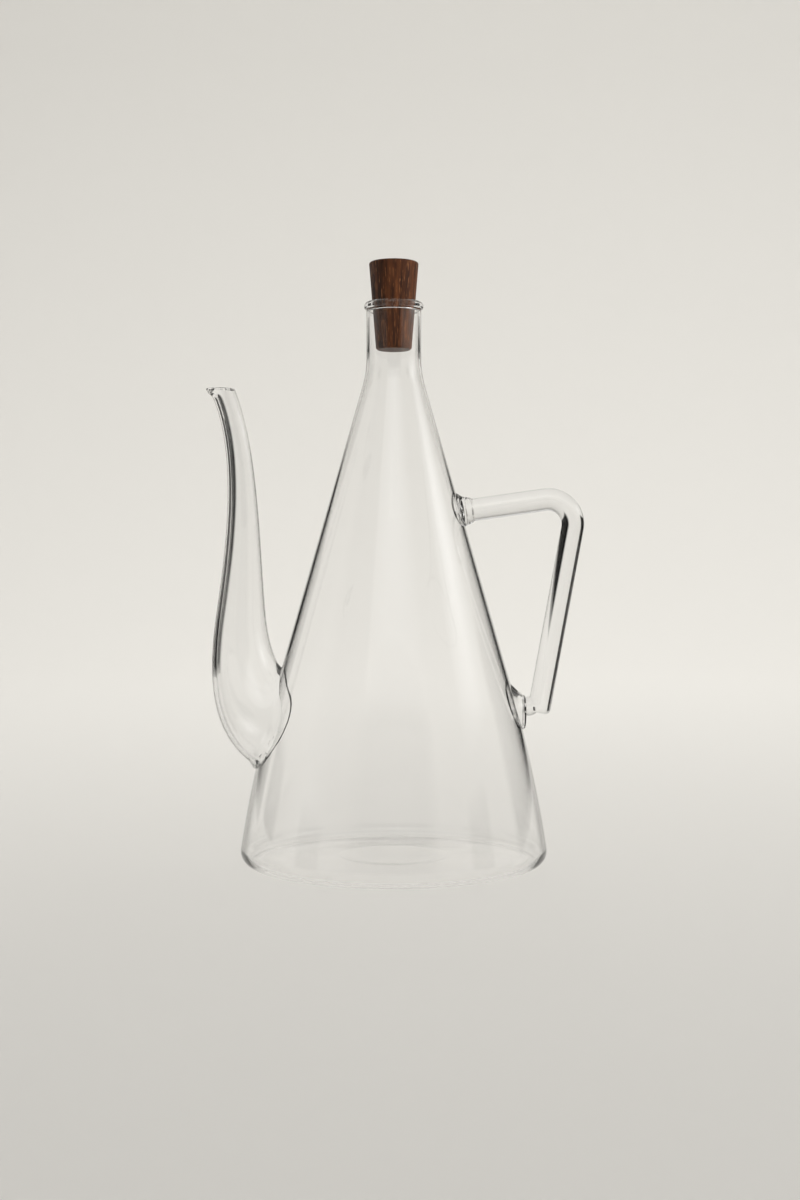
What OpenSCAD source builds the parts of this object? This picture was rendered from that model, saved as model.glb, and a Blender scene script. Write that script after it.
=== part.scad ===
// Glass oil cruet: a blown cone-shaped flask with a rolled lip, a swan-neck pouring spout,
// a bent rod handle and a tapered wooden stopper. It stands on its foot at z = 0, with the
// flask's axis on Z, the spout towards -X and the handle towards +X. Millimetres.

/* [Flask] */
// Height of the glass, from the table to the rim
glass_h = 234.6; // [220:0.2:290]
// Outer radius of the foot, before its edge is rounded
foot_r = 65.8; // [60:0.1:80]
// How much wider the foot is than the waist above it
foot_flare = 6.6; // [4:0.1:8]
// Height of the waist, where the low side wall turns into the cone
waist_z = 42; // [40:0.5:48]
// Length of wall, above and below the waist, over which it is rounded
waist_reach = 32; // [10:0.5:32]
// Rounding of the heel, between side wall and foot
heel_round = 5.5; // [4:0.1:6.5]
// Length of the straight neck, from the cone up to the lip
neck_l = 28.4; // [22:0.2:36]
// Rounding between cone and neck
shoulder_round = 35; // [15:1:50]
// Thickness of the cone's wall
wall_t = 1.8; // [1.4:0.1:2.4]
// Thickness of the neck's wall
neck_t = 1.4; // [1.1:0.1:2]
// Thickness of the base
base_t = 2.6; // [2:0.1:4]
// Rounding of the inside corner, between wall and base
inner_heel_round = 7; // [4:0.5:10]
// Inner radius of the flat ring that the cruet stands on
foot_ring_r = 55; // [30:0.5:56]
// How far the middle of the base is pushed up
kick_h = 1.6; // [0.5:0.1:3]
// Radius of the shallow round mark in the middle of the base
mark_r = 21.7; // [15:0.1:28]
// Depth of that mark
mark_h = 0.5; // [0.2:0.1:1]

/* [Lip] */
// Height of the rolled lip
lip_h = 3.7; // [3:0.1:5]
// How far the lip stands out from the neck
lip_out = 1.05; // [0.6:0.05:2]

/* [Stopper] */
// Length of the stopper
stopper_l = 37; // [30:0.5:45]
// Radius at its top, before the edge is eased
stopper_top_r = 10.5; // [9.5:0.1:13]
// Radius at its bottom
stopper_bottom_r = 7.5; // [6:0.1:9]
// How far it goes down below the rim
stopper_depth = 20; // [14:0.5:24]
// Eased edge at its top
stopper_top_round = 0.8; // [0.3:0.1:1.5]
// Bevel at its bottom
stopper_bevel = 0.6; // [0.2:0.1:1.2]
// Clearance between the stopper and its seat in the lip
seat_gap = 0.2; // [0.1:0.05:0.5]
// Space between the stopper and the neck's wall, just under the lip
neck_gap = 1.3; // [0.8:0.1:2.5]

/* [Spout] */
// Height at which the spout's root enters the cone
spout_root_z = 60; // [54:0.5:72]
// Radius of the spout inside the root
spout_root_r = 21.5; // [18:0.1:23]
// How many times wider than tall the root is
spout_root_widen = 1.18; // [1:0.01:1.25]
// Height where the spout stands upright
spout_stem_z = 103; // [95:0.5:115]
// Radius of the spout there
spout_stem_r = 10.4; // [9:0.1:12.5]
// Distance from the flask's wall, level with the root, out to the upright part's axis
spout_stem_out = 10.3; // [8:0.1:14]
// Height of the spout's open tip
spout_tip_z = 198.4; // [165:0.2:240]
// Radius at the tip
spout_tip_r = 5; // [4.4:0.1:7]
// How far the tip leans out past the upright part
spout_lean = 8.1; // [4:0.1:14]
// Tilt of the tip from upright, in degrees
spout_tip_tilt = 24; // [8:1:30]
// Wall of the spout
spout_t = 1.6; // [1.2:0.1:2]
// How far the drip lip is drawn out at the tip
spout_lip = 2.6; // [0:0.1:3]
// Thickness of the ring of glass that seals the root
spout_seal_t = 1.1; // [0.6:0.1:1.8]
// Width of that ring, out from the flask's wall
spout_seal_w = 2.4; // [1.2:0.1:4]

/* [Handle] */
// Radius of the glass rod
rod_r = 4.75; // [4:0.05:6]
// Height at which the upper arm leaves the cone
handle_top_z = 146.7; // [135:0.2:165]
// Slope of the upper arm, in degrees
handle_tilt = 8.1; // [0:0.1:15]
// Distance from the cone out to the corner of the handle, between the two arms' axes
handle_out = 50; // [42:0.5:60]
// Radius of the bend, on the rod's axis
bend_r = 10.3; // [8:0.1:14]
// Height of the rod's lower end
handle_foot_z = 62.3; // [54:0.2:75]
// Gap between cone and rod at the lower end, which the weld fills
handle_foot_gap = 2.8; // [2:0.1:5]
// Rounding of the rod's lower end
rod_end_round = 2.2; // [1:0.1:3]
// How far the upper weld stands out around the rod
upper_weld_t = 1.4; // [0.8:0.1:2]
// Length of the upper weld along the rod
upper_weld_l = 5.6; // [4:0.1:8]
// Radius of the boss drawn out of the wall at the lower weld
lower_boss_r = 7.3; // [6:0.1:8.5]
// Radius of the bead between that boss and the rod
lower_bead_r = 4.3; // [3.2:0.1:4.6]

/* [Hidden] */
$fn = 96;

glass = [0.85, 0.87, 0.85, 0.45];
weld_glass = [0.78, 0.81, 0.79, 0.6];
dark_wood = [0.30, 0.16, 0.11];

// Steps in one rounded corner of an outline
arc_steps = 8;
// Sides of the spout, and its rings from root to stem and from stem to tip
spout_sides = 24;
root_rings = 11;
stem_rings = 17;
// How much longer than needed a cutting shape is made
spare = 4;

// The stopper tapers evenly, and the seat in the lip and the neck's bore follow it.
stopper_z = glass_h - stopper_depth;
stopper_taper = (stopper_top_r - stopper_bottom_r) / stopper_l;
function stopper_r(z) = stopper_bottom_r + stopper_taper * (z - stopper_z);
neck_z = glass_h - lip_h;
bore_r = stopper_r(neck_z) + neck_gap;
neck_r = bore_r + neck_t;
lip_r = neck_r + lip_out;

// The cone runs straight from the neck's foot down to the waist.
cone_z = neck_z - neck_l;
waist_r = foot_r - foot_flare;
cone_slope = (waist_r - neck_r) / (cone_z - waist_z);
function cone_r(z) = neck_r + cone_slope * (cone_z - z);
waist_turn = atan(cone_slope) - atan(foot_flare / waist_z);
waist_round = waist_reach / tan(waist_turn / 2);

// ---- outlines ----

function unit(v) = v / norm(v);
function left_of(a, b) = let (d = unit(b - a)) [-d.y, d.x];

// The corner at b moved inwards, by ta off the side a-b and by tb off the side b-c
function inset(a, b, c, ta, tb) =
    let (n = left_of(a, b), m = left_of(b, c), det = n.x * m.y - n.y * m.x)
    b + [ta * m.y - tb * n.y, tb * n.x - ta * m.x] / det;

// The arc of radius r that rounds the corner at b
function arc(a, b, c, r) =
    let (
        u = unit(a - b),
        v = unit(c - b),
        half = acos(u * v) / 2,
        centre = b + unit(u + v) * r / sin(half),
        start = b + u * r / tan(half) - centre,
        end = b + v * r / tan(half) - centre,
        from = atan2(start.y, start.x),
        turn = (atan2(end.y, end.x) - from + 540) % 360 - 180
    )
    [for (i = [0:arc_steps]) centre + r * [cos(from + turn * i / arc_steps), sin(from + turn * i / arc_steps)]];

// An outline through corners, each rounded by its own radius; a radius of 0 stays sharp
function rounded(corners, radii) = [
    for (i = [0:len(corners) - 1])
        each radii[i] == 0
            ? [corners[i]]
            : arc(corners[i - 1], corners[i], corners[i + 1], radii[i])
];

function reversed(list) = [for (i = [len(list) - 1:-1:0]) list[i]];

// ---- flask ----

foot = [foot_r, 0];
waist = [waist_r, waist_z];
shoulder = [neck_r, cone_z];
neck_top = [neck_r, neck_z];
foot_ring = [foot_ring_r, 0];

outer_wall = rounded(
    [
        [0, kick_h + mark_h], [mark_r - mark_h, kick_h + mark_h], [mark_r, kick_h],
        foot_ring, foot, waist, shoulder, neck_top
    ],
    [0, 0, 0, 0, heel_round, waist_round, shoulder_round, 0]
);

inner_foot = inset(foot_ring, foot, waist, base_t, wall_t);
inner_waist = inset(foot, waist, shoulder, wall_t, wall_t);
inner_shoulder = inset(waist, shoulder, neck_top, wall_t, neck_t);
inner_wall = rounded(
    [[0, base_t + kick_h], inner_foot, inner_waist, inner_shoulder, [bore_r, neck_z]],
    [0, inner_heel_round, waist_round - wall_t, shoulder_round + wall_t, 0]
);

// The flask as if it were solid, which trims what is sealed to it
module flask_outside() {
    rotate_extrude() polygon(concat(outer_wall, [[0, neck_z]]));
}

module flask_body() {
    color(glass)
        difference() {
            rotate_extrude() polygon(concat(outer_wall, reversed(inner_wall)));
            spout_tube(root_path, -spout_t);
        }
}

module mouth_lip() {
    seat_low = [stopper_r(neck_z) + seat_gap, neck_z];
    seat_high = [stopper_r(glass_h) + seat_gap, glass_h];
    under_round = lip_out * 0.9;
    color(glass)
        rotate_extrude()
            polygon(rounded(
                [seat_low, [lip_r, neck_z], [lip_r, glass_h], seat_high, seat_low],
                [0, under_round, lip_h * 0.5, lip_h * 0.2, 0]
            ));
}

// ---- stopper ----

module stopper() {
    top_z = stopper_z + stopper_l;
    color(dark_wood)
        rotate_extrude()
            polygon(rounded(
                [
                    [0, stopper_z],
                    [stopper_bottom_r - stopper_bevel, stopper_z],
                    [stopper_r(stopper_z + stopper_bevel), stopper_z + stopper_bevel],
                    [stopper_top_r, top_z],
                    [0, top_z]
                ],
                [0, 0, 0, stopper_top_round, 0]
            ));
}

// ---- spout ----

// A point of the path is [distance from the flask's axis, height, radius, width against height].
// The path is two curves that join at the stem: one out of the root, and one up to the tip.
spout_wall_x = cone_r(spout_root_z);
stem_x = spout_wall_x + spout_stem_out;
stem_pull = [-0.8, 29, -3.5, 0];
tip_pull = 28;
path_root = [spout_wall_x - 10, spout_root_z - 3, spout_root_r, spout_root_widen];
path_root_pull = path_root + [13, 2, -2.5, 0];
path_stem = [stem_x, spout_stem_z, spout_stem_r, 1];
path_tip = [stem_x + spout_lean, spout_tip_z, spout_tip_r, 1];
path_tip_pull = path_tip - [tip_pull * sin(spout_tip_tilt), tip_pull * cos(spout_tip_tilt), 0.6, 0];

function curve(a, b, c, d, t) =
    a * pow(1 - t, 3) + 3 * b * t * pow(1 - t, 2) + 3 * c * t * t * (1 - t) + d * pow(t, 3);

root_path = [
    for (i = [0:root_rings])
        curve(path_root, path_root_pull, path_stem - stem_pull, path_stem, i / root_rings)
];
// The rings come closer together towards the tip, where the drip lip is.
tip_path = [
    for (i = [1:stem_rings])
        curve(path_stem, path_stem + stem_pull, path_tip_pull, path_tip, 1 - pow(1 - i / stem_rings, 1.5))
];
past_tip = [path_tip + spare * [sin(spout_tip_tilt), cos(spout_tip_tilt), 0, 0]];
spout_path = concat(root_path, tip_path, past_tip);

// How far the wall is drawn outwards at height z to form the drip lip; side is 1 at the front of
// the spout and -1 at its back
function drip_lip(z, side) = spout_lip * exp(-pow((z - spout_tip_z) / 4, 2)) * pow(max(side, 0), 2);

// One ring of the spout at path point i, grown by the amount extra
function ring(path, i, extra) =
    let (
        here = path[i],
        ahead = path[min(i + 1, len(path) - 1)],
        behind = path[max(i - 1, 0)],
        along = unit([ahead.x - behind.x, ahead.y - behind.y])
    )
    [
        for (s = [0:spout_sides - 1])
            let (
                a = 360 * s / spout_sides,
                r = here[2] + extra + drip_lip(here.y, cos(a)),
                out = r * cos(a)
            )
            [-(here.x + out * along.y), here[3] * r * sin(a), here.y - out * along.x]
    ];

// A closed skin of rings, one list of points after another
module skin(rings) {
    n = spout_sides;
    last = len(rings) - 1;
    walls = [
        for (i = [0:last - 1], s = [0:n - 1])
            let (a = i * n + s, b = i * n + (s + 1) % n)
            each [[a, b, b + n], [a, b + n, a + n]]
    ];
    ends = [[for (s = [n - 1:-1:0]) s], [for (s = [0:n - 1]) last * n + s]];
    polyhedron(points = [for (r = rings) each r], faces = concat(walls, ends), convexity = 6);
}

// The spout along a path as a solid skin, grown by the amount extra
module spout_tube(path, extra) {
    skin([for (i = [0:len(path) - 1]) ring(path, i, extra)]);
}

module spout() {
    color(glass)
        difference() {
            spout_tube(spout_path, 0);
            spout_tube(spout_path, -spout_t);
            flask_outside();
            translate([-path_tip.x, 0, spout_tip_z + spare])
                cube([8 * spout_tip_r, 8 * spout_tip_r, 2 * spare], center = true);
        }
}

// The flask's cone, grown by w, over the height that the spout's root covers
module grown_cone(w) {
    low = spout_root_z - 1.5 * spout_root_r;
    high = spout_root_z + 2 * spout_root_r;
    translate([0, 0, low])
        cylinder(h = high - low, r1 = cone_r(low) + w, r2 = cone_r(high) + w);
}

module spout_seal() {
    color(weld_glass)
        difference() {
            intersection() {
                spout_tube(root_path, spout_seal_t);
                grown_cone(spout_seal_w);
            }
            spout_tube(root_path, 0);
            flask_outside();
        }
}

// ---- handle ----

// The handle lies in the plane y = 0 and is laid out as [x, z].
handle_root = [cone_r(handle_top_z), handle_top_z];
arm_dir = [cos(handle_tilt), sin(handle_tilt)];
corner = handle_root + handle_out * arm_dir;
rod_end = [cone_r(handle_foot_z) + handle_foot_gap + rod_r, handle_foot_z];
leg_dir = unit(rod_end - corner);
half_corner = acos(-arm_dir * leg_dir) / 2;
bend_centre = corner + unit(leg_dir - arm_dir) * bend_r / sin(half_corner);
arm_end = corner - arm_dir * bend_r / tan(half_corner);
leg_top = corner + leg_dir * bend_r / tan(half_corner);

module in_handle_plane() {
    rotate([90, 0, 0]) children();
}

// Turns an outline of [radius, distance] about the line that leaves point a in direction dir
module turned(a, dir, outline) {
    translate([a.x, a.y, 0])
        rotate([0, 0, atan2(dir.y, dir.x)])
            rotate([0, 90, 0])
                rotate_extrude() polygon(outline);
}

// The bend is a hair thicker than the arms, which reach a little way into it.
module rod() {
    swell = 0.02;
    reach = 0.5;
    arm_start = handle_root - arm_dir * spare;
    leg_start = leg_top - leg_dir * reach;
    arm_l = norm(arm_end - arm_start) + reach;
    leg_l = norm(rod_end - leg_start);
    turned(arm_start, arm_dir, [[0, 0], [rod_r, 0], [rod_r, arm_l], [0, arm_l]]);
    translate([bend_centre.x, bend_centre.y, 0])
        rotate([0, 0, atan2(leg_top.y - bend_centre.y, leg_top.x - bend_centre.x)])
            rotate_extrude(angle = 180 - 2 * half_corner) translate([bend_r, 0]) circle(rod_r + swell);
    turned(leg_start, leg_dir, rounded(
        [[0, 0], [rod_r, 0], [rod_r, leg_l], [0, leg_l]], [0, 0, rod_end_round, 0]
    ));
}

module handle_rod() {
    color(glass)
        difference() {
            in_handle_plane() rod();
            flask_outside();
        }
}

module handle_upper_seal() {
    weld_r = rod_r + upper_weld_t;
    flare = 2.5;
    color(weld_glass)
        difference() {
            in_handle_plane()
                turned(handle_root - arm_dir * spare, arm_dir, rounded(
                    [
                        [0, 0], [weld_r + flare, 0], [weld_r + flare, spare],
                        [weld_r, spare + flare], [weld_r, spare + upper_weld_l], [0, spare + upper_weld_l]
                    ],
                    [0, 0, 0, flare, upper_weld_t, 0]
                ));
            in_handle_plane() rod();
            flask_outside();
        }
}

module handle_lower_seal() {
    // The boss is level, flares into the cone, and stops just short of the rod's own surface.
    flare = 9;
    flare_l = 5;
    boss_z = handle_foot_z;
    boss_face = cone_r(handle_foot_z) + handle_foot_gap * 0.7;
    boss_root = boss_face - flare_l - 3;
    boss_l = boss_face - boss_root;
    bead_z = handle_foot_z + lower_bead_r - 0.6;
    color(weld_glass)
        difference() {
            in_handle_plane() {
                turned([boss_root, boss_z], [1, 0], rounded(
                    [
                        [0, 0], [lower_boss_r + flare, 0], [lower_boss_r + 1.2, flare_l],
                        [lower_boss_r, boss_l], [0, boss_l]
                    ],
                    [0, 0, 7, 0.6, 0]
                ));
                turned([boss_root, bead_z], [1, 0], [
                    [0, 0], [lower_bead_r, 0],
                    [lower_bead_r, boss_l + handle_foot_gap + 1], [0, boss_l + handle_foot_gap + 1]
                ]);
            }
            in_handle_plane() rod();
            flask_outside();
        }
}

flask_body();
mouth_lip();
spout();
spout_seal();
handle_rod();
handle_upper_seal();
handle_lower_seal();
stopper();
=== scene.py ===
"""A lamp-worked glass oil cruet with a wooden stopper, built and lit round its CAD frame.

The glass is made as it is blown: solid forms are joined, the hollow is taken out of them, and the one fused
skin is then parted along its seams into the pieces of glass that it was sealed from. The wooden stopper is
turned separately. Lengths are in millimetres until a piece is finished.
"""
import logging
import math
from dataclasses import dataclass, field
from enum import IntEnum

import bmesh
import bpy
from mathutils import Matrix, Vector


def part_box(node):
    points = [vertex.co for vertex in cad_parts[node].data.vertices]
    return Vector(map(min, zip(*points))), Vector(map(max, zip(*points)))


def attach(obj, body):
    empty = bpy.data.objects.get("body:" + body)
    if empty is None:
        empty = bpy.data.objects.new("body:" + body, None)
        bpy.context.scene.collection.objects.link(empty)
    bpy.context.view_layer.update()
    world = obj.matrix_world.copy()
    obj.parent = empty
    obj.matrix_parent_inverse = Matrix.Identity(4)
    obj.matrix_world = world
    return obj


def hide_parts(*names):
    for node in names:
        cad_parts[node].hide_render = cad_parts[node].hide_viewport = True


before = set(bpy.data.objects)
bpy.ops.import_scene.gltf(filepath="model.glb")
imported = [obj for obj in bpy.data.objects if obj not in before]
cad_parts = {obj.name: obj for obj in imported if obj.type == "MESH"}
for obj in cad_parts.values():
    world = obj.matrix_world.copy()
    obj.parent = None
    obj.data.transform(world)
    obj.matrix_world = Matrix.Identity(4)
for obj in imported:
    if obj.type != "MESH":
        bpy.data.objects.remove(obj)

MM = 0.001  # one millimetre in Blender's metres
STEP_DEGREES = 6  # the widest turn between two points of a rounded corner
X_AXIS, Y_AXIS, Z_AXIS = Vector((1, 0, 0)), Vector((0, 1, 0)), Vector((0, 0, 1))

log = logging.getLogger("oil_cruet")


class Sealed(IntEnum):
    """The pieces of glass that were sealed together, numbered by their material slot while they are fused."""

    FLASK = 0
    LIP = 1
    SPOUT = 2
    ROD = 3
    UPPER_SEAL = 4
    LOWER_SEAL = 5


# ---------------------------------------------------------------- the frame

def cad_box(node: str) -> tuple[Vector, Vector]:
    """The lowest and highest corner of a CAD node.

    Args:
        node: The node's name.

    Returns:
        The two corners, in millimetres.
    """
    low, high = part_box(node)
    return Vector(low) / MM, Vector(high) / MM


# ---------------------------------------------------------------- bmesh helpers

@dataclass(frozen=True)
class Corner:
    """One corner of an outline: its radius, its height and how far it is rounded, in millimetres."""

    r: float
    z: float
    round: float = 0.0

    @property
    def point(self) -> Vector:
        """The corner as a point in the XZ plane."""
        return Vector((self.r, 0.0, self.z))


def outline(mesh: bmesh.types.BMesh, corners: list[Corner], longest: float = 3.0) -> None:
    """Draws an outline with rounded corners in the XZ plane.

    Args:
        mesh: The mesh to draw in.
        corners: The corners, from one end of the outline to the other.
        longest: The longest edge that is left.
    """
    points = [corner.point for corner in corners]
    verts = [mesh.verts.new(point) for point in points]
    for start, end in zip(verts, verts[1:]):
        mesh.edges.new((start, end))
    for index in range(1, len(corners) - 1):
        if corners[index].round:
            before, here, after = points[index - 1:index + 2]
            turn = (here - before).angle(after - here)
            tangent = corners[index].round * math.tan(turn / 2)
            by_angle = math.ceil(math.degrees(turn) / STEP_DEGREES)
            steps = max(2, by_angle, math.ceil(turn * corners[index].round / longest))
            bmesh.ops.bevel(mesh, geom=[verts[index]], offset=tangent, offset_type="OFFSET",
                            segments=steps, profile=0.5, affect="VERTICES", material=-1)
    for edge in list(mesh.edges):
        cuts = math.ceil(edge.calc_length() / longest) - 1
        if cuts > 0:
            bmesh.ops.subdivide_edges(mesh, edges=[edge], cuts=cuts)


def turned(corners: list[Corner], steps: int, centre: Vector = Vector(),
           axis: Vector = Z_AXIS) -> bmesh.types.BMesh:
    """Turns an outline into a closed solid, as on a lathe.

    Args:
        corners: The outline, whose first and last corners are on the axis.
        steps: How many steps the full turn has.
        centre: Where the outline's foot goes.
        axis: The direction of the outline's height.

    Returns:
        The solid.
    """
    mesh = bmesh.new()
    outline(mesh, corners)
    bmesh.ops.spin(mesh, geom=mesh.verts[:] + mesh.edges[:], cent=Vector(), axis=Z_AXIS, angle=math.tau,
                   steps=steps, use_merge=True)
    bmesh.ops.remove_doubles(mesh, verts=mesh.verts, dist=1e-4)
    place = Matrix.Translation(centre) @ axis.to_track_quat("Z", "Y").to_matrix().to_4x4()
    bmesh.ops.transform(mesh, matrix=place, verts=mesh.verts)
    bmesh.ops.recalc_face_normals(mesh, faces=mesh.faces)
    return mesh


def open_edges(mesh: bmesh.types.BMesh) -> list[bmesh.types.BMEdge]:
    """The edges that have a face on one side only."""
    return [edge for edge in mesh.edges if edge.is_boundary]


def lofted(rings: list[list[bmesh.types.BMVert]], mesh: bmesh.types.BMesh) -> None:
    """Joins a row of rings into a tube with open ends.

    Args:
        rings: The rings, from one end to the other.
        mesh: Their mesh.
    """
    loops = [list({edge for vert in ring for edge in vert.link_edges}) for ring in rings]
    for low, high in zip(loops, loops[1:]):
        bmesh.ops.bridge_loops(mesh, edges=low + high)


def as_object(name: str, mesh: bmesh.types.BMesh,
              finishes: list[bpy.types.Material]) -> bpy.types.Object:
    """Makes an object of a bmesh, which is freed.

    Args:
        name: The object's name.
        mesh: Its shape.
        finishes: Its materials, one for each slot.

    Returns:
        The object, linked to the scene.
    """
    data = bpy.data.meshes.new(name)
    mesh.to_mesh(data)
    mesh.free()
    for finish in finishes:
        data.materials.append(finish)
    made = bpy.data.objects.new(name, data)
    bpy.context.scene.collection.objects.link(made)
    return made


def seat(piece: bpy.types.Object, body: str, nodes: tuple[str, ...]) -> None:
    """Puts a finished piece on its body in place of its CAD nodes, and logs it.

    Args:
        piece: The piece.
        body: The body that it rides on.
        nodes: The CAD nodes that it stands for.
    """
    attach(piece, body)
    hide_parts(*nodes)
    log.info("%s rides on %s with %d faces", piece.name, body, len(piece.data.polygons))


def marked(mesh: bmesh.types.BMesh, part: Sealed) -> bmesh.types.BMesh:
    """Marks all faces of a form as one piece's.

    Args:
        mesh: The form.
        part: The piece.

    Returns:
        The form.
    """
    for face in mesh.faces:
        face.material_index = part
    return mesh


# ---------------------------------------------------------------- finishes

def linear(colour: str) -> tuple[float, float, float, float]:
    """An sRGB hex colour as linear RGBA.

    Args:
        colour: Six hex digits after a #.

    Returns:
        Red, green, blue and an alpha of 1.
    """
    parts = [int(colour[i:i + 2], 16) / 255 for i in (1, 3, 5)]
    return (*(c / 12.92 if c <= 0.04045 else ((c + 0.055) / 1.055) ** 2.4 for c in parts), 1.0)


def add_node(material: bpy.types.Material, kind: str, settings: dict | None = None,
             links: dict | None = None) -> bpy.types.Node:
    """Adds a node to a material.

    Args:
        material: The material whose tree gets the node.
        kind: The node's type.
        settings: Values by the name of a property, or by the name or number of an input.
        links: Output sockets by the name or number of the input that they feed.

    Returns:
        The node.
    """
    node = material.node_tree.nodes.new(kind)
    for key, value in (settings or {}).items():
        if isinstance(key, str) and hasattr(node, key):
            setattr(node, key, value)
        else:
            node.inputs[key].default_value = value
    for key, socket in (links or {}).items():
        material.node_tree.links.new(socket, node.inputs[key])
    return node


def new_material(name: str) -> bpy.types.Material:
    """A material with an empty node tree."""
    material = bpy.data.materials.new(name)
    material.use_nodes = True
    material.node_tree.nodes.clear()
    return material


def finish_with(material: bpy.types.Material, shader: bpy.types.Node) -> bpy.types.Material:
    """Links a shader to a material's surface."""
    out = add_node(material, "ShaderNodeOutputMaterial")
    material.node_tree.links.new(shader.outputs[0], out.inputs["Surface"])
    return material


@dataclass(frozen=True)
class BorosilicateGlass:
    """Clear borosilicate glass, lamp-worked: fire-polished, with faint waves left by the flame.

    Upright walls have painted shade: their colour darkens to near black where they are seen along their face,
    standing in for the dark outline that the surroundings give the glass.
    """

    ior: float = 1.474
    tint: str = "#ffffff"
    # painted shade: the near-black colour that upright faces turn where they are seen edge-on
    edge: str = "#171717"
    painted_shade_from: float = 0.7
    painted_shade_to: float = 0.92
    level: float = 0.85
    upright: float = 0.5
    roughness: float = 0.0
    wave_mm: float = 22.0
    wave_depth_mm: float = 0.02

    def material(self) -> bpy.types.Material:
        """The glass as a material.

        Returns:
            The material, which stays clear where a face lies level.
        """
        material = new_material("clear borosilicate glass with painted dark edges")
        where = add_node(material, "ShaderNodeTexCoord")
        waves = add_node(material, "ShaderNodeTexNoise", {"Scale": 1 / (self.wave_mm * MM), "Detail": 1.0},
                         {"Vector": where.outputs["Object"]})
        bump = add_node(material, "ShaderNodeBump", {"Strength": 1.0, "Distance": self.wave_depth_mm * MM},
                        {"Height": waves.outputs["Fac"]})
        # Painted shade: the glass colour is mixed towards the dark edge colour where an upright face is seen
        # edge-on.
        grazing = add_node(material, "ShaderNodeLayerWeight", {"Blend": 0.5})
        facing = add_node(material, "ShaderNodeSeparateXYZ", links={"Vector": where.outputs["Normal"]})
        tilt = add_node(material, "ShaderNodeMath", {"operation": "ABSOLUTE"}, {0: facing.outputs["Z"]})
        wall = add_node(material, "ShaderNodeMapRange", {"From Min": self.level, "From Max": self.upright},
                        {"Value": tilt.outputs[0]})
        edge = add_node(material, "ShaderNodeMapRange",
                        {"From Min": self.painted_shade_from, "From Max": self.painted_shade_to},
                        {"Value": grazing.outputs["Facing"]})
        share = add_node(material, "ShaderNodeMath", {"operation": "MULTIPLY"},
                         {0: edge.outputs["Result"], 1: wall.outputs["Result"]})
        colour = add_node(material, "ShaderNodeMix",
                          {"data_type": "RGBA", 6: linear(self.tint), 7: linear(self.edge)},
                          {0: share.outputs[0]})
        shader = add_node(material, "ShaderNodeBsdfPrincipled",
                          {"Roughness": self.roughness, "IOR": self.ior, "Transmission Weight": 1.0},
                          {"Base Color": colour.outputs[2], "Normal": bump.outputs["Normal"]})
        return finish_with(material, shader)


@dataclass(frozen=True)
class StainedHardwood:
    """Turned hardwood, stained red-brown and oiled: straight grain, with open pores as pale flecks."""

    dark: str = "#241108"
    light: str = "#63381c"
    fleck: str = "#a36b43"
    dark_at: float = 0.34
    light_at: float = 0.70
    fleck_share: float = 0.7
    grain_mm: float = 1.8
    grain_depth_mm: float = 0.1
    fleck_mm: float = 0.45
    stretch: float = 14.0
    roughness: float = 0.5

    def material(self) -> bpy.types.Material:
        """The wood as a material.

        Returns:
            The material, whose grain runs along the Z axis.
        """
        material = new_material("stained turned hardwood")
        where = add_node(material, "ShaderNodeTexCoord")
        along = add_node(material, "ShaderNodeMapping", {"Scale": (1.0, 1.0, 1.0 / self.stretch)},
                         {"Vector": where.outputs["Object"]})
        grain = add_node(material, "ShaderNodeTexNoise",
                         {"Scale": 1 / (self.grain_mm * MM), "Detail": 6.0, "Roughness": 0.6},
                         {"Vector": along.outputs["Vector"]})
        tone = add_node(material, "ShaderNodeValToRGB", links={"Fac": grain.outputs["Fac"]})
        stains = ((self.dark_at, self.dark), (self.light_at, self.light))
        for element, (position, colour) in zip(tone.color_ramp.elements, stains):
            element.position = position
            element.color = linear(colour)
        pores = add_node(material, "ShaderNodeTexNoise",
                         {"Scale": 1 / (self.fleck_mm * MM), "Detail": 2.0, "Roughness": 0.5},
                         {"Vector": along.outputs["Vector"]})
        share = add_node(material, "ShaderNodeMapRange",
                         {"From Min": 0.6, "From Max": 0.72, "To Max": self.fleck_share},
                         {"Value": pores.outputs["Fac"]})
        flecked = add_node(material, "ShaderNodeMixRGB", {"Color2": linear(self.fleck)},
                           {"Fac": share.outputs["Result"], "Color1": tone.outputs["Color"]})
        bump = add_node(material, "ShaderNodeBump",
                        {"Strength": 0.4, "Distance": self.grain_depth_mm * MM},
                        {"Height": grain.outputs["Fac"]})
        shader = add_node(material, "ShaderNodeBsdfPrincipled",
                          {"Roughness": self.roughness, "Specular IOR Level": 0.3},
                          {"Base Color": flecked.outputs["Color"], "Normal": bump.outputs["Normal"]})
        return finish_with(material, shader)


@dataclass(frozen=True)
class StudioPaper:
    """Seamless matt background paper in a warm off-white."""

    colour: str = "#dfdedb"

    def material(self) -> bpy.types.Material:
        """The paper as a material."""
        material = new_material("matt background paper")
        shader = add_node(material, "ShaderNodeBsdfPrincipled",
                          {"Base Color": linear(self.colour), "Roughness": 0.9, "Specular IOR Level": 0.1})
        return finish_with(material, shader)


@dataclass(frozen=True)
class SoftPanel:
    """The face of a studio panel, which fades out towards its edges: cloth that is lit, or one that glows."""

    name: str
    colour: str
    glow: float = 0.0

    def material(self) -> bpy.types.Material:
        """The panel's face as a material.

        Returns:
            The material, which is as thin as the panel's "cover" attribute says.
        """
        material = new_material(self.name)
        cover = add_node(material, "ShaderNodeAttribute", {"attribute_name": "cover"})
        clear = add_node(material, "ShaderNodeBsdfTransparent")
        if self.glow:
            face = add_node(material, "ShaderNodeEmission",
                            {"Color": linear(self.colour), "Strength": self.glow})
        else:
            face = add_node(material, "ShaderNodeBsdfDiffuse", {"Color": linear(self.colour)})
        mix = add_node(material, "ShaderNodeMixShader",
                       links={0: cover.outputs["Fac"], 1: clear.outputs[0], 2: face.outputs[0]})
        return finish_with(material, mix)


# ---------------------------------------------------------------- the glass

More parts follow.
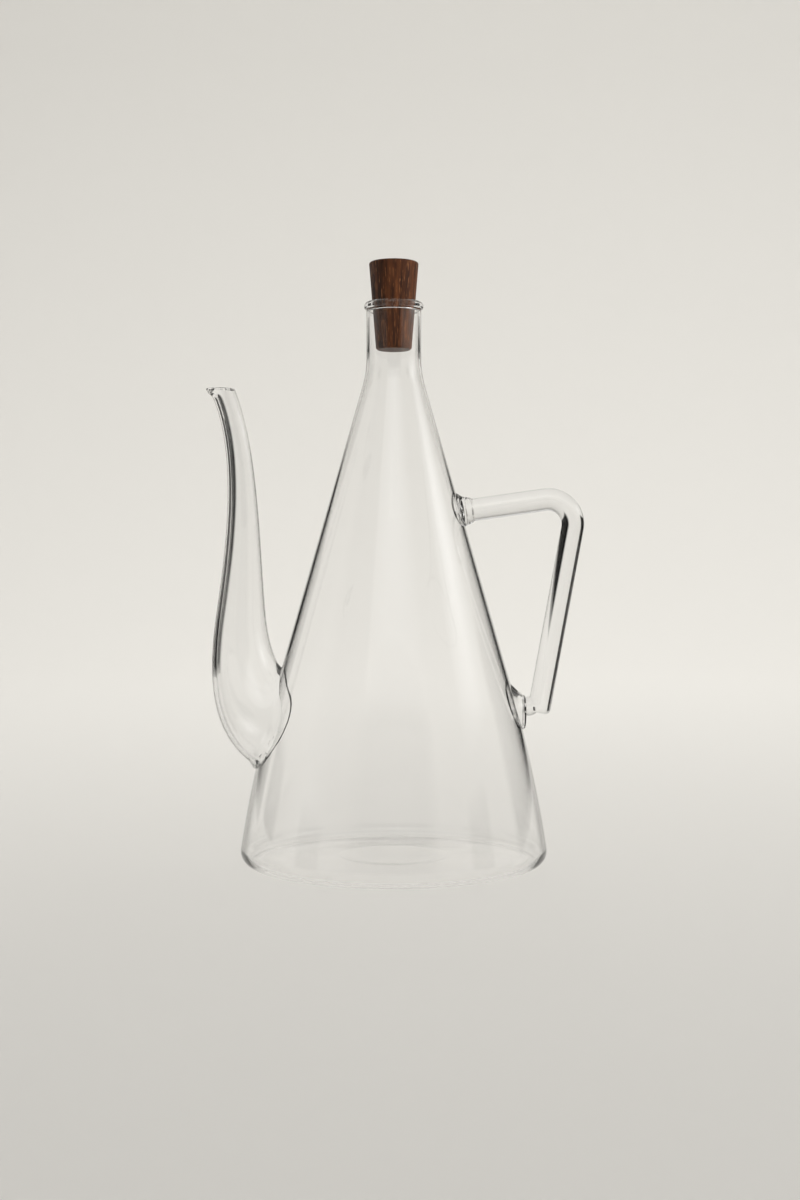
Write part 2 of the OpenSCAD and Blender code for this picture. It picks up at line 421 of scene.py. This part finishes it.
@dataclass
class Flask:
    """The blown cone with its neck, its pushed-up base and its rolled lip."""

    height: float
    foot_r: float
    neck_r: float = 11.52
    foot_flare: float = 6.6
    waist_z: float = 42.0
    shoulder_z: float = 205.0
    neck_z: float = 231.5
    lip_r: float = 12.4
    wall: float = 1.1
    cone_wall: float = 0.85
    neck_wall: float = 1.1
    base_wall: float = 1.3
    kick: float = 1.6
    mark_r: float = 21.7
    mark_h: float = 0.04
    mark_edge: float = 1.2
    foot_ring_r: float = 55.0
    heel_round: float = 5.5
    inner_heel_round: float = 4.7
    waist_round: float = 481.0
    inner_waist_round: float = 479.0
    shoulder_round: float = 35.0
    inner_shoulder_round: float = 36.8
    seat_r: float = 8.80
    seat_top_r: float = 9.10
    seat_drop: float = 0.74
    seat_flare: float = 0.9
    bore_step: float = 0.8
    steps: int = 160

    @classmethod
    def from_frame(cls) -> "Flask":
        """A flask as tall and as wide as the CAD's."""
        return cls(height=cad_box("mouth_lip")[1].z, foot_r=cad_box("flask_body")[1].x)

    @property
    def waist(self) -> Vector:
        """Where the low flare of the foot turns into the cone."""
        return Vector((self.foot_r - self.foot_flare, 0.0, self.waist_z))

    @property
    def slope(self) -> float:
        """How much the cone's radius shrinks with height."""
        return (self.waist.x - self.neck_r) / (self.shoulder_z - self.waist_z)

    def depth(self, point: Vector, wall: float = 0.0) -> float:
        """How far a point is outside the cone.

        Args:
            point: The point.
            wall: How far inside the cone's outer face the measured face is.

        Returns:
            The distance, which is negative inside.
        """
        radius = self.neck_r + self.slope * (self.shoulder_z - point.z)
        return (math.hypot(point.x, point.y) - radius) * math.cos(math.atan(self.slope)) + wall

    def solid(self) -> bmesh.types.BMesh:
        """The flask as if it were solid glass.

        Returns:
            The outer form, whose base has a faint round mark.
        """
        foot = self.kick + self.mark_h
        return self.parted(turned([
            Corner(0, foot),
            Corner(self.mark_r - self.mark_edge, foot, 4),
            Corner(self.mark_r + self.mark_edge, foot - self.mark_h, 4),
            Corner(self.foot_ring_r, 0, 40),
            Corner(self.foot_r, 0, self.heel_round),
            Corner(self.waist.x, self.waist.z, self.waist_round),
            Corner(self.neck_r, self.shoulder_z, self.shoulder_round),
            Corner(self.neck_r, self.neck_z),
            Corner(self.lip_r, self.neck_z, 0.8),
            Corner(self.lip_r, self.height, 1.7),
            Corner(0, self.height),
        ], self.steps))

    def hollow(self) -> bmesh.types.BMesh:
        """The space inside the flask, up through the mouth.

        Returns:
            The inner form, which stands a wall's thickness inside the outer one.
        """
        foot_side = Vector((self.foot_flare, 0, -self.waist_z)).normalized()
        cone_side = Vector((self.slope, 0, -1)).normalized()
        foot_out = Vector((-foot_side.z, 0, foot_side.x))
        cone_out = Vector((-cone_side.z, 0, cone_side.x))
        floor = self.base_wall
        heel_r = self.foot_r - (self.wall + floor * foot_out.z) / foot_out.x
        waist = self.waist - (foot_out + cone_out) * self.wall / (1 + foot_out.dot(cone_out))
        bore = self.neck_r - self.neck_wall
        shoulder_z = self.shoulder_z - (self.cone_wall - self.neck_wall * cone_out.x) / cone_out.z
        return self.parted(turned([
            Corner(0, floor + self.kick),
            Corner(self.mark_r, floor + self.kick, 60),
            Corner(self.foot_ring_r, floor, 60),
            Corner(heel_r, floor, self.inner_heel_round),
            Corner(waist.x, waist.z, self.inner_waist_round),
            Corner(bore, shoulder_z, self.inner_shoulder_round),
            Corner(bore, self.neck_z - self.bore_step, 0.6),
            Corner(self.seat_r, self.neck_z),
            Corner(self.seat_top_r, self.height - self.seat_drop, 1.2),
            Corner(self.seat_top_r + self.seat_flare, self.height + 0.1),
            Corner(self.seat_top_r + self.seat_flare, self.height + 1),
            Corner(0, self.height + 1),
        ], self.steps))

    def parted(self, mesh: bmesh.types.BMesh) -> bmesh.types.BMesh:
        """Marks which faces are the lip's and which the flask's.

        Args:
            mesh: The form.

        Returns:
            The form.
        """
        for face in mesh.faces:
            high = face.calc_center_median().z > self.neck_z
            face.material_index = Sealed.LIP if high else Sealed.FLASK
        return mesh


@dataclass(frozen=True)
class Station:
    """One place on the spout's path: how far out, how high, its radius and how much wider than tall it is."""

    out: float
    z: float
    r: float
    width: float

    def mixed(self, other: "Station", share: float) -> "Station":
        """The station a share of the way to another."""
        return Station(*(a + (b - a) * share for a, b in zip(self.values, other.values)))

    @property
    def values(self) -> tuple[float, float, float, float]:
        """The four numbers in order."""
        return self.out, self.z, self.r, self.width


@dataclass
class Spout:
    """The hollow swan-neck spout, whose root flares into the cone and whose tip has a drip lip."""

    flask: Flask
    root: Station = Station(43.85, 57.0, 21.5, 1.18)
    root_pull: Station = Station(56.85, 59.0, 19.0, 1.18)
    stem_pull: Station = Station(64.95, 74.0, 13.9, 1.0)
    stem: Station = Station(64.15, 103.0, 10.4, 1.0)
    stem_lead: Station = Station(63.35, 132.0, 6.9, 1.0)
    tip_lead: Station = Station(60.86, 172.8, 4.4, 1.0)
    tip: Station = Station(72.25, 198.4, 5.0, 1.0)
    wall: float = 0.95
    bore_shift: float = 0.6
    over: float = 4.0
    drip: float = 2.8
    drip_h: float = 1.9
    fillet: float = 3.0
    fillet_h: float = 1.3
    rim_round: float = 0.7
    rim_steps: int = 5
    sides: int = 96
    spacing: float = 0.9

    def stations(self) -> list[tuple[Station, Vector]]:
        """Spaces stations along the path, which is two smooth curves end to end.

        Returns:
            Each station with its direction in the path's own plane.
        """
        rows = []
        curves = [(self.root, self.root_pull, self.stem_pull, self.stem),
                  (self.stem, self.stem_lead, self.tip_lead, self.tip)]
        for index, curve in enumerate(curves):
            length = math.hypot(curve[3].out - curve[0].out, curve[3].z - curve[0].z)
            steps = math.ceil(length / self.spacing)
            for step in range(0 if index == 0 else 1, steps + 1):
                share = step / steps
                first = [a.mixed(b, share) for a, b in zip(curve, curve[1:])]
                second = [a.mixed(b, share) for a, b in zip(first, first[1:])]
                along = Vector((second[1].out - second[0].out, second[1].z - second[0].z)).normalized()
                rows.append((second[0].mixed(second[1], share), along))
        last, along = rows[-1]
        past_tip = Station(last.out + along.x * self.over, last.z + along.y * self.over, last.r, last.width)
        rows.append((past_tip, along))
        return rows

    def swept(self, inset: float, shift: float, cone_wall: float) -> bmesh.types.BMesh:
        """The spout's outer or inner form, from inside the cone to past the tip.

        Args:
            inset: How far inside the outer face it is.
            shift: How far it lies nearer the flask than the path does.
            cone_wall: How far inside the cone's outer face the face is that its root melts into.

        Returns:
            An open-ended tube.
        """
        mesh = bmesh.new()
        rings = []
        for station, along in self.stations():
            ring = bmesh.ops.create_circle(mesh, segments=self.sides, radius=1.0)["verts"]
            outwards = Vector((-along.y, 0.0, -along.x))
            centre = Vector((-station.out, 0.0, station.z)) - outwards * shift
            lift = station.r - inset
            for vert in ring:
                side = vert.co.copy()
                near_tip = math.exp(-((station.z - self.tip.z - side.x * along.x * lift) / self.drip_h) ** 2)
                reach = lift + self.drip * near_tip * max(side.x, 0.0) ** 2
                vert.co = centre + outwards * reach * side.x + Y_AXIS * reach * station.width * side.y
                gap = self.flask.depth(vert.co, cone_wall)
                if station.z < self.stem.z and gap < self.fillet:
                    push = self.fillet_h * (1 - max(gap, 0.0) / self.fillet) ** 2
                    vert.co += (vert.co - centre).normalized() * push
            rings.append(ring)
        lofted(rings, mesh)
        return mesh

    def solid(self) -> bmesh.types.BMesh:
        """The spout as if it were solid glass.

        Returns:
            The outer form, cut level at the tip with its edge melted round.
        """
        mesh = self.swept(0.0, 0.0, 0.0)
        bmesh.ops.bisect_plane(mesh, geom=mesh.verts[:] + mesh.edges[:] + mesh.faces[:],
                               plane_co=Z_AXIS * self.tip.z, plane_no=Z_AXIS, clear_outer=True)
        caps = bmesh.ops.holes_fill(mesh, edges=open_edges(mesh))["faces"]
        bmesh.ops.recalc_face_normals(mesh, faces=mesh.faces)
        top = max(caps, key=lambda face: face.calc_center_median().z)
        bmesh.ops.bevel(mesh, geom=top.edges[:], offset=self.rim_round, offset_type="OFFSET",
                        segments=self.rim_steps, profile=0.5, affect="EDGES", material=-1)
        return marked(mesh, Sealed.SPOUT)

    def hollow(self) -> bmesh.types.BMesh:
        """The bore of the spout.

        Returns:
            The inner form, which opens a little at the tip along a quarter circle.
        """
        mesh = self.swept(self.wall, self.bore_shift, self.flask.wall)
        rim_z = self.tip.z - self.rim_round
        bmesh.ops.bisect_plane(mesh, geom=mesh.verts[:] + mesh.edges[:] + mesh.faces[:],
                               plane_co=Z_AXIS * rim_z, plane_no=Z_AXIS, clear_outer=True)
        rim = [edge for edge in open_edges(mesh) if edge.verts[0].co.z > self.stem.z]
        centre = sum((edge.verts[0].co for edge in rim), Vector()) / len(rim)
        turns = [step / self.rim_steps * math.pi / 2 for step in range(self.rim_steps + 1)]
        moves = [(self.rim_round * (math.cos(low) - math.cos(high)),
                  self.rim_round * (math.sin(high) - math.sin(low))) for low, high in zip(turns, turns[1:])]
        for flare, rise in [*moves, (0.0, 1.0)]:
            grown = bmesh.ops.extrude_edge_only(mesh, edges=rim)["geom"]
            rim = [item for item in grown if isinstance(item, bmesh.types.BMEdge)]
            for vert in {vert for edge in rim for vert in edge.verts}:
                out = (vert.co - centre) * Vector((1, 1, 0))
                vert.co += out.normalized() * flare + Z_AXIS * rise
        bmesh.ops.holes_fill(mesh, edges=open_edges(mesh))
        bmesh.ops.recalc_face_normals(mesh, faces=mesh.faces)
        return marked(mesh, Sealed.SPOUT)


@dataclass
class Handle:
    """The solid rod, bent once, with the glass that seals it to the cone at both ends."""

    rod_r: float = 4.75
    root: Vector = field(default_factory=lambda: Vector((26.0, 0, 146.4)))
    corner: Vector = field(default_factory=lambda: Vector((77.60, 0, 153.75)))
    end: Vector = field(default_factory=lambda: Vector((60.72, 0, 62.3)))
    bend_r: float = 10.3
    end_round: float = 2.2
    seal_sink: float = 4.0
    boss_foot: Vector = field(default_factory=lambda: Vector((45.0, 0, 62.6)))
    bead_at: Vector = field(default_factory=lambda: Vector((56.8, 0, 65.0)))
    bead_r: float = 4.0
    longest_step: float = 4.0
    bend_steps: int = 24
    sides: int = 64

    @property
    def arm(self) -> Vector:
        """The direction of the upper arm."""
        return (self.corner - self.root).normalized()

    @property
    def leg(self) -> Vector:
        """The direction of the lower arm."""
        return (self.end - self.corner).normalized()

    def rod(self) -> bmesh.types.BMesh:
        """The bent rod.

        Returns:
            The form, from inside the cone to the rod's melted end.
        """
        mesh = bmesh.new()
        turn = self.arm.angle(self.leg)
        tangent = self.bend_r * math.tan(turn / 2)
        place = Matrix.Translation(self.root) @ self.arm.to_track_quat("Z", "Y").to_matrix().to_4x4()
        bmesh.ops.create_circle(mesh, segments=self.sides, radius=self.rod_r, matrix=place)
        ring = mesh.edges[:]
        ring = self.pulled(mesh, ring, self.arm * ((self.corner - self.root).length - tangent))
        start = self.corner - self.arm * tangent
        hub = start + Vector((self.arm.z, 0, -self.arm.x)) * self.bend_r
        grown = bmesh.ops.spin(mesh, geom=ring, cent=hub, axis=Y_AXIS, angle=turn,
                               steps=self.bend_steps)["geom_last"]
        ring = [item for item in grown if isinstance(item, bmesh.types.BMEdge)]
        ring = self.pulled(mesh, ring, self.leg * ((self.end - self.corner).length - tangent))
        caps = bmesh.ops.holes_fill(mesh, edges=open_edges(mesh))["faces"]
        bmesh.ops.recalc_face_normals(mesh, faces=mesh.faces)
        last = min(caps, key=lambda face: face.calc_center_median().z)
        bmesh.ops.bevel(mesh, geom=last.edges[:], offset=self.end_round, offset_type="OFFSET", segments=6,
                        profile=0.5, affect="EDGES", material=-1)
        return marked(mesh, Sealed.ROD)

    def pulled(self, mesh: bmesh.types.BMesh, ring: list[bmesh.types.BMEdge],
               way: Vector) -> list[bmesh.types.BMEdge]:
        """Draws a ring out straight, in short steps.

        Args:
            mesh: The rod.
            ring: The ring of edges at its open end.
            way: How far and where it goes.

        Returns:
            The ring at the new end.
        """
        steps = math.ceil(way.length / self.longest_step)
        for _ in range(steps):
            grown = bmesh.ops.extrude_edge_only(mesh, edges=ring)["geom"]
            ring = [item for item in grown if isinstance(item, bmesh.types.BMEdge)]
            verts = [item for item in grown if isinstance(item, bmesh.types.BMVert)]
            bmesh.ops.translate(mesh, verts=verts, vec=way / steps)
        return ring

    def upper_seal(self, flask: Flask, wall: float = 0.0) -> bmesh.types.BMesh:
        """The glass that is drawn out of the cone round the upper arm's root.

        Args:
            flask: The flask that it grows out of.
            wall: How far inside its outer face the form is.

        Returns:
            The form.
        """
        reach = 0.0
        while flask.depth(self.root + self.arm * reach) < 0:
            reach += 0.05
        foot = self.root + self.arm * (reach - self.seal_sink)
        if wall:
            corners = [Corner(0, 0), Corner(10.5, 0), Corner(6.1 - wall, 5.4 - wall, 4 + 3 * wall),
                       Corner(0, 5.6 - wall)]
        else:
            corners = [Corner(0, 0), Corner(10.5, 0), Corner(6.1, 5.4, 4), Corner(5.5, 8.2, 1.2),
                       Corner(4.8, 8.9, 0.6), Corner(4.6, 11), Corner(0, 11)]
        return marked(turned(corners, self.sides, foot, self.arm), Sealed.UPPER_SEAL)

    def lower_seal(self, wall: float = 0.0) -> bmesh.types.BMesh:
        """The blister that is drawn out of the cone for the rod's lower end to be pressed onto.

        Args:
            wall: How far inside its outer face the form is.

        Returns:
            The form.
        """
        corners = [Corner(0, 0), Corner(16, 0), Corner(8 - wall, 8 - wall, 6 + 4 * wall),
                   Corner(6.8 - wall, 10.2 - wall, 1.2), Corner(0, 10.4 - wall)]
        return marked(turned(corners, self.sides, self.boss_foot, X_AXIS), Sealed.LOWER_SEAL)

    def bead(self) -> bmesh.types.BMesh:
        """The bead of glass between the boss and the rod.

        Returns:
            The form.
        """
        mesh = bmesh.new()
        bmesh.ops.create_uvsphere(mesh, u_segments=48, v_segments=24, radius=self.bead_r,
                                  matrix=Matrix.Translation(self.bead_at))
        return marked(mesh, Sealed.LOWER_SEAL)


@dataclass
class GlassBottle:
    """The fused glass: every piece of it is closed into one skin and then parted along the seams."""

    flask: Flask
    spout: Spout
    handle: Handle
    seal_wall: float = 0.9
    crease: float = math.radians(24)
    stands_for: dict[Sealed, tuple[str, ...]] = field(default_factory=lambda: {
        Sealed.FLASK: ("flask_body",), Sealed.LIP: ("mouth_lip",), Sealed.SPOUT: ("spout", "spout_seal"),
        Sealed.ROD: ("handle_rod",), Sealed.UPPER_SEAL: ("handle_upper_seal",),
        Sealed.LOWER_SEAL: ("handle_lower_seal",)})

    def fused(self, glass: bpy.types.Material) -> bpy.types.Mesh:
        """Joins the solid forms and takes the hollows out of them.

        Args:
            glass: The material of every slot.

        Returns:
            One closed mesh in metres, whose material slots tell the pieces apart.
        """
        slots = [glass] * len(Sealed)
        body = as_object("fused glass", self.flask.solid(), slots)
        solids = [self.spout.solid(), self.handle.rod(), self.handle.upper_seal(self.flask),
                  self.handle.lower_seal(), self.handle.bead()]
        hollows = [self.flask.hollow(), self.spout.hollow(),
                   self.handle.upper_seal(self.flask, self.seal_wall),
                   self.handle.lower_seal(self.seal_wall)]
        tools = []
        for operation, meshes in (("UNION", solids), ("DIFFERENCE", hollows)):
            for mesh in meshes:
                tool = as_object("form", mesh, slots)
                cut = body.modifiers.new("form", "BOOLEAN")
                cut.object = tool
                cut.operation = operation
                cut.solver = "MANIFOLD"
                tools.append(tool)
        made = bpy.data.meshes.new_from_object(body.evaluated_get(bpy.context.evaluated_depsgraph_get()))
        for spent in (body, *tools):
            bpy.data.objects.remove(spent)
        made.transform(Matrix.Scale(MM, 4))
        made.shade_smooth()
        made.set_sharp_from_angle(angle=self.crease)
        return made

    def build(self, glass: bpy.types.Material) -> None:
        """Builds the pieces of glass, each riding on the bottle.

        Args:
            glass: Their material.
        """
        whole = self.fused(glass)
        for part, nodes in self.stands_for.items():
            mesh = bmesh.new()
            mesh.from_mesh(whole)
            others = [face for face in mesh.faces if face.material_index != part]
            bmesh.ops.delete(mesh, geom=others, context="FACES")
            for face in mesh.faces:
                face.material_index = 0
            piece = as_object(f"{part.name.lower()}_glass", mesh, [glass])
            piece.visible_shadow = piece.visible_diffuse = False
            seat(piece, "bottle", nodes)


# ---------------------------------------------------------------- the stopper

@dataclass
class Stopper:
    """The tapered wooden peg, with eased edges and a slightly domed top."""

    bottom_z: float
    top_z: float
    top_r: float
    bottom_r: float = 7.5
    top_round: float = 0.8
    bevel: float = 0.6
    dome: float = 0.35
    crease: float = math.radians(30)
    steps: int = 96

    @classmethod
    def from_frame(cls) -> "Stopper":
        """A stopper the size of the CAD's."""
        low, high = cad_box("stopper")
        return cls(bottom_z=low.z, top_z=high.z, top_r=high.x)

    def build(self, wood: bpy.types.Material) -> None:
        """Builds the stopper on its own body.

        Args:
            wood: Its material.
        """
        height = self.top_z - self.bottom_z
        mesh = turned([
            Corner(0, 0),
            Corner(self.bottom_r - self.bevel, 0, 0.2),
            Corner(self.bottom_r, self.bevel, 0.4),
            Corner(self.top_r, height - self.dome, self.top_round),
            Corner(0, height),
        ], self.steps, Z_AXIS * self.bottom_z)
        bmesh.ops.scale(mesh, vec=(MM, MM, MM), verts=mesh.verts)
        piece = as_object("wooden_stopper", mesh, [wood])
        piece.data.shade_smooth()
        piece.data.set_sharp_from_angle(angle=self.crease)
        seat(piece, "stopper", ("stopper",))


# ---------------------------------------------------------------- the studio

@dataclass(frozen=True)
class Panel:
    """An upright panel: where it starts and ends on the floor, its lower and upper edge, and its face.

    Its edges fade out over a share of its width and a share of its height. Lengths are in metres.
    """

    name: str
    start: tuple[float, float]
    end: tuple[float, float]
    low: float
    high: float
    face: bpy.types.Material
    fade: tuple[float, float] = (0.2, 0.2)


@dataclass
class Studio:
    """A bowl of pale paper with soft light from above, dark flags round it and the camera.

    The flags and the glowing panels are there for the glass to bend and mirror. The near ones stand about
    a metre off, so that a camera that looks well down sees only paper through the glass.
    """

    camera_at: tuple[float, float, float] = (0.0026, -0.672, 0.1226)
    lens: float = 48.0
    sensor: float = 36.0
    shift_y: float = -0.02583
    bowl_r: float = 2.4
    bowl_h: float = 3.2
    bowl_round: float = 1.2
    bowl_steps: int = 96
    panel_steps: int = 50

    def set_camera(self) -> None:
        """Sets up the camera, level and in front."""
        data = bpy.data.cameras.new("camera")
        data.lens = self.lens
        data.sensor_width = self.sensor
        data.shift_y = self.shift_y
        camera = bpy.data.objects.new("camera", data)
        camera.location = self.camera_at
        camera.rotation_euler = (math.pi / 2, 0, 0)
        bpy.context.scene.collection.objects.link(camera)
        bpy.context.scene.camera = camera

    def hang_paper(self) -> None:
        """Makes the floor and the wall round it as one seamless bowl."""
        mesh = bmesh.new()
        outline(mesh, [Corner(0, 0), Corner(self.bowl_r, 0, self.bowl_round),
                       Corner(self.bowl_r, self.bowl_h)], longest=0.2)
        bmesh.ops.spin(mesh, geom=mesh.verts[:] + mesh.edges[:], cent=Vector(), axis=Z_AXIS, angle=math.tau,
                       steps=self.bowl_steps, use_merge=True)
        bmesh.ops.remove_doubles(mesh, verts=mesh.verts, dist=1e-5)
        bmesh.ops.recalc_face_normals(mesh, faces=mesh.faces)
        bmesh.ops.reverse_faces(mesh, faces=mesh.faces)
        bowl = as_object("paper_bowl", mesh, [StudioPaper().material()])
        bowl.data.shade_smooth()

    def hang_panel(self, panel: Panel) -> bpy.types.Object:
        """Hangs a panel with soft edges, which the camera itself doesn't see.

        Args:
            panel: The panel.

        Returns:
            Its object.
        """
        mesh = bmesh.new()
        bmesh.ops.create_grid(mesh, x_segments=self.panel_steps, y_segments=self.panel_steps, size=1.0)
        cover = mesh.verts.layers.float.new("cover")
        start = Vector((*panel.start, panel.low))
        end = Vector((*panel.end, panel.low))
        for vert in mesh.verts:
            edge = [min(1.0, (1 - abs(part)) / 2 / soft) for part, soft in zip(vert.co.xy, panel.fade)]
            vert[cover] = edge[0] * edge[1]
            rise = Z_AXIS * (panel.high - panel.low) * (vert.co.y + 1) / 2
            vert.co = start.lerp(end, (vert.co.x + 1) / 2) + rise
        hung = as_object(panel.name, mesh, [panel.face])
        hung.visible_camera = hung.visible_shadow = hung.visible_diffuse = False
        return hung

    def hang_lamp(self, name: str, place: tuple[float, float, float], aim: tuple[float, float, float],
                  size: float, power: float, colour: str) -> bpy.types.Object:
        """Hangs a soft square lamp.

        Args:
            name: Its name.
            place: Where it is.
            aim: The point that it faces.
            size: The length of its side.
            power: Its power in watts.
            colour: Its colour.

        Returns:
            The lamp.
        """
        data = bpy.data.lights.new(name, "AREA")
        data.shape = "SQUARE"
        data.size = size
        data.energy = power
        data.color = linear(colour)[:3]
        lamp = bpy.data.objects.new(name, data)
        lamp.location = place
        lamp.rotation_mode = "QUATERNION"
        lamp.rotation_quaternion = (Vector(aim) - Vector(place)).to_track_quat("-Z", "Y")
        lamp.visible_camera = False
        bpy.context.scene.collection.objects.link(lamp)
        return lamp

    def light(self) -> None:
        """Lights the paper from the open top of the bowl, and hangs the panels."""
        world = bpy.data.worlds.new("studio air")
        world.use_nodes = True
        air = world.node_tree.nodes["Background"]
        air.inputs["Color"].default_value = linear("#f6f5f3")
        air.inputs["Strength"].default_value = 0.76
        bpy.context.scene.world = world
        bpy.context.scene.view_settings.view_transform = "Standard"
        ceiling = self.hang_lamp("ceiling softbox", (0.25, 0.95, 2.3), (0.15, 0.95, 0), 1.7, 25.5, "#fffdfa")
        key = self.hang_lamp("key softbox", (0.9, -0.6, 0.32), (0, 0, 0.24), 0.2, 0.1, "#fffaf2")
        for lamp, spread in ((ceiling, 150), (key, 14)):
            lamp.data.spread = math.radians(spread)
            lamp.visible_glossy = lamp.visible_transmission = False
        gauze = SoftPanel("dark gauze", "#1a1a1a").material()
        glow = SoftPanel("diffused window", "#ffffff", 1.25).material()
        streak = SoftPanel("side softbox", "#ffffff", 2.2).material()
        for panel in (
            Panel("flag_back_right", (0.38, 1.02), (1.08, 0.24), -0.02, 0.4, gauze, (0.12, 0.12)),
            Panel("flag_back_left", (-0.88, 0.6), (-0.37, 0.98), -0.02, 0.4, gauze, (0.12, 0.12)),
            Panel("flag_front", (-0.9, -1.2), (0.9, -1.2), -0.3, 0.75, gauze, (0.2, 0.15)),
            Panel("glow_front", (-0.9, -1.3), (0.9, -1.3), 0.6, 1.9, glow, (0.4, 0.3)),
            Panel("glow_side", (1.2, -0.6), (1.2, 0.45), 0.35, 1.0, streak, (0.45, 0.4)),
            Panel("flag_left_back", (-1.3, 0.84), (-1.5, 0.26), -0.1, 0.3, gauze),
            Panel("flag_left_side", (-1.5, -0.32), (-1.25, -0.88), -0.1, 0.3, gauze),
            Panel("flag_right_side", (1.3, -0.23), (1.1, -0.71), -0.1, 0.3, gauze),
        ):
            self.hang_panel(panel)
        shade = self.hang_panel(Panel("shade_left", (-0.45, -0.9), (-0.5, -0.1), 0.0, 1.3, gauze))
        shade.visible_diffuse = True
        shade.visible_transmission = False


def main() -> None:
    """Builds the cruet and its studio."""
    logging.basicConfig(level=logging.INFO, format="%(name)s: %(message)s")
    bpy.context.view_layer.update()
    studio = Studio()
    studio.set_camera()
    flask = Flask.from_frame()
    GlassBottle(flask, Spout(flask), Handle()).build(BorosilicateGlass().material())
    Stopper.from_frame().build(StainedHardwood().material())
    studio.hang_paper()
    studio.light()


if __name__ == "__main__":
    main()
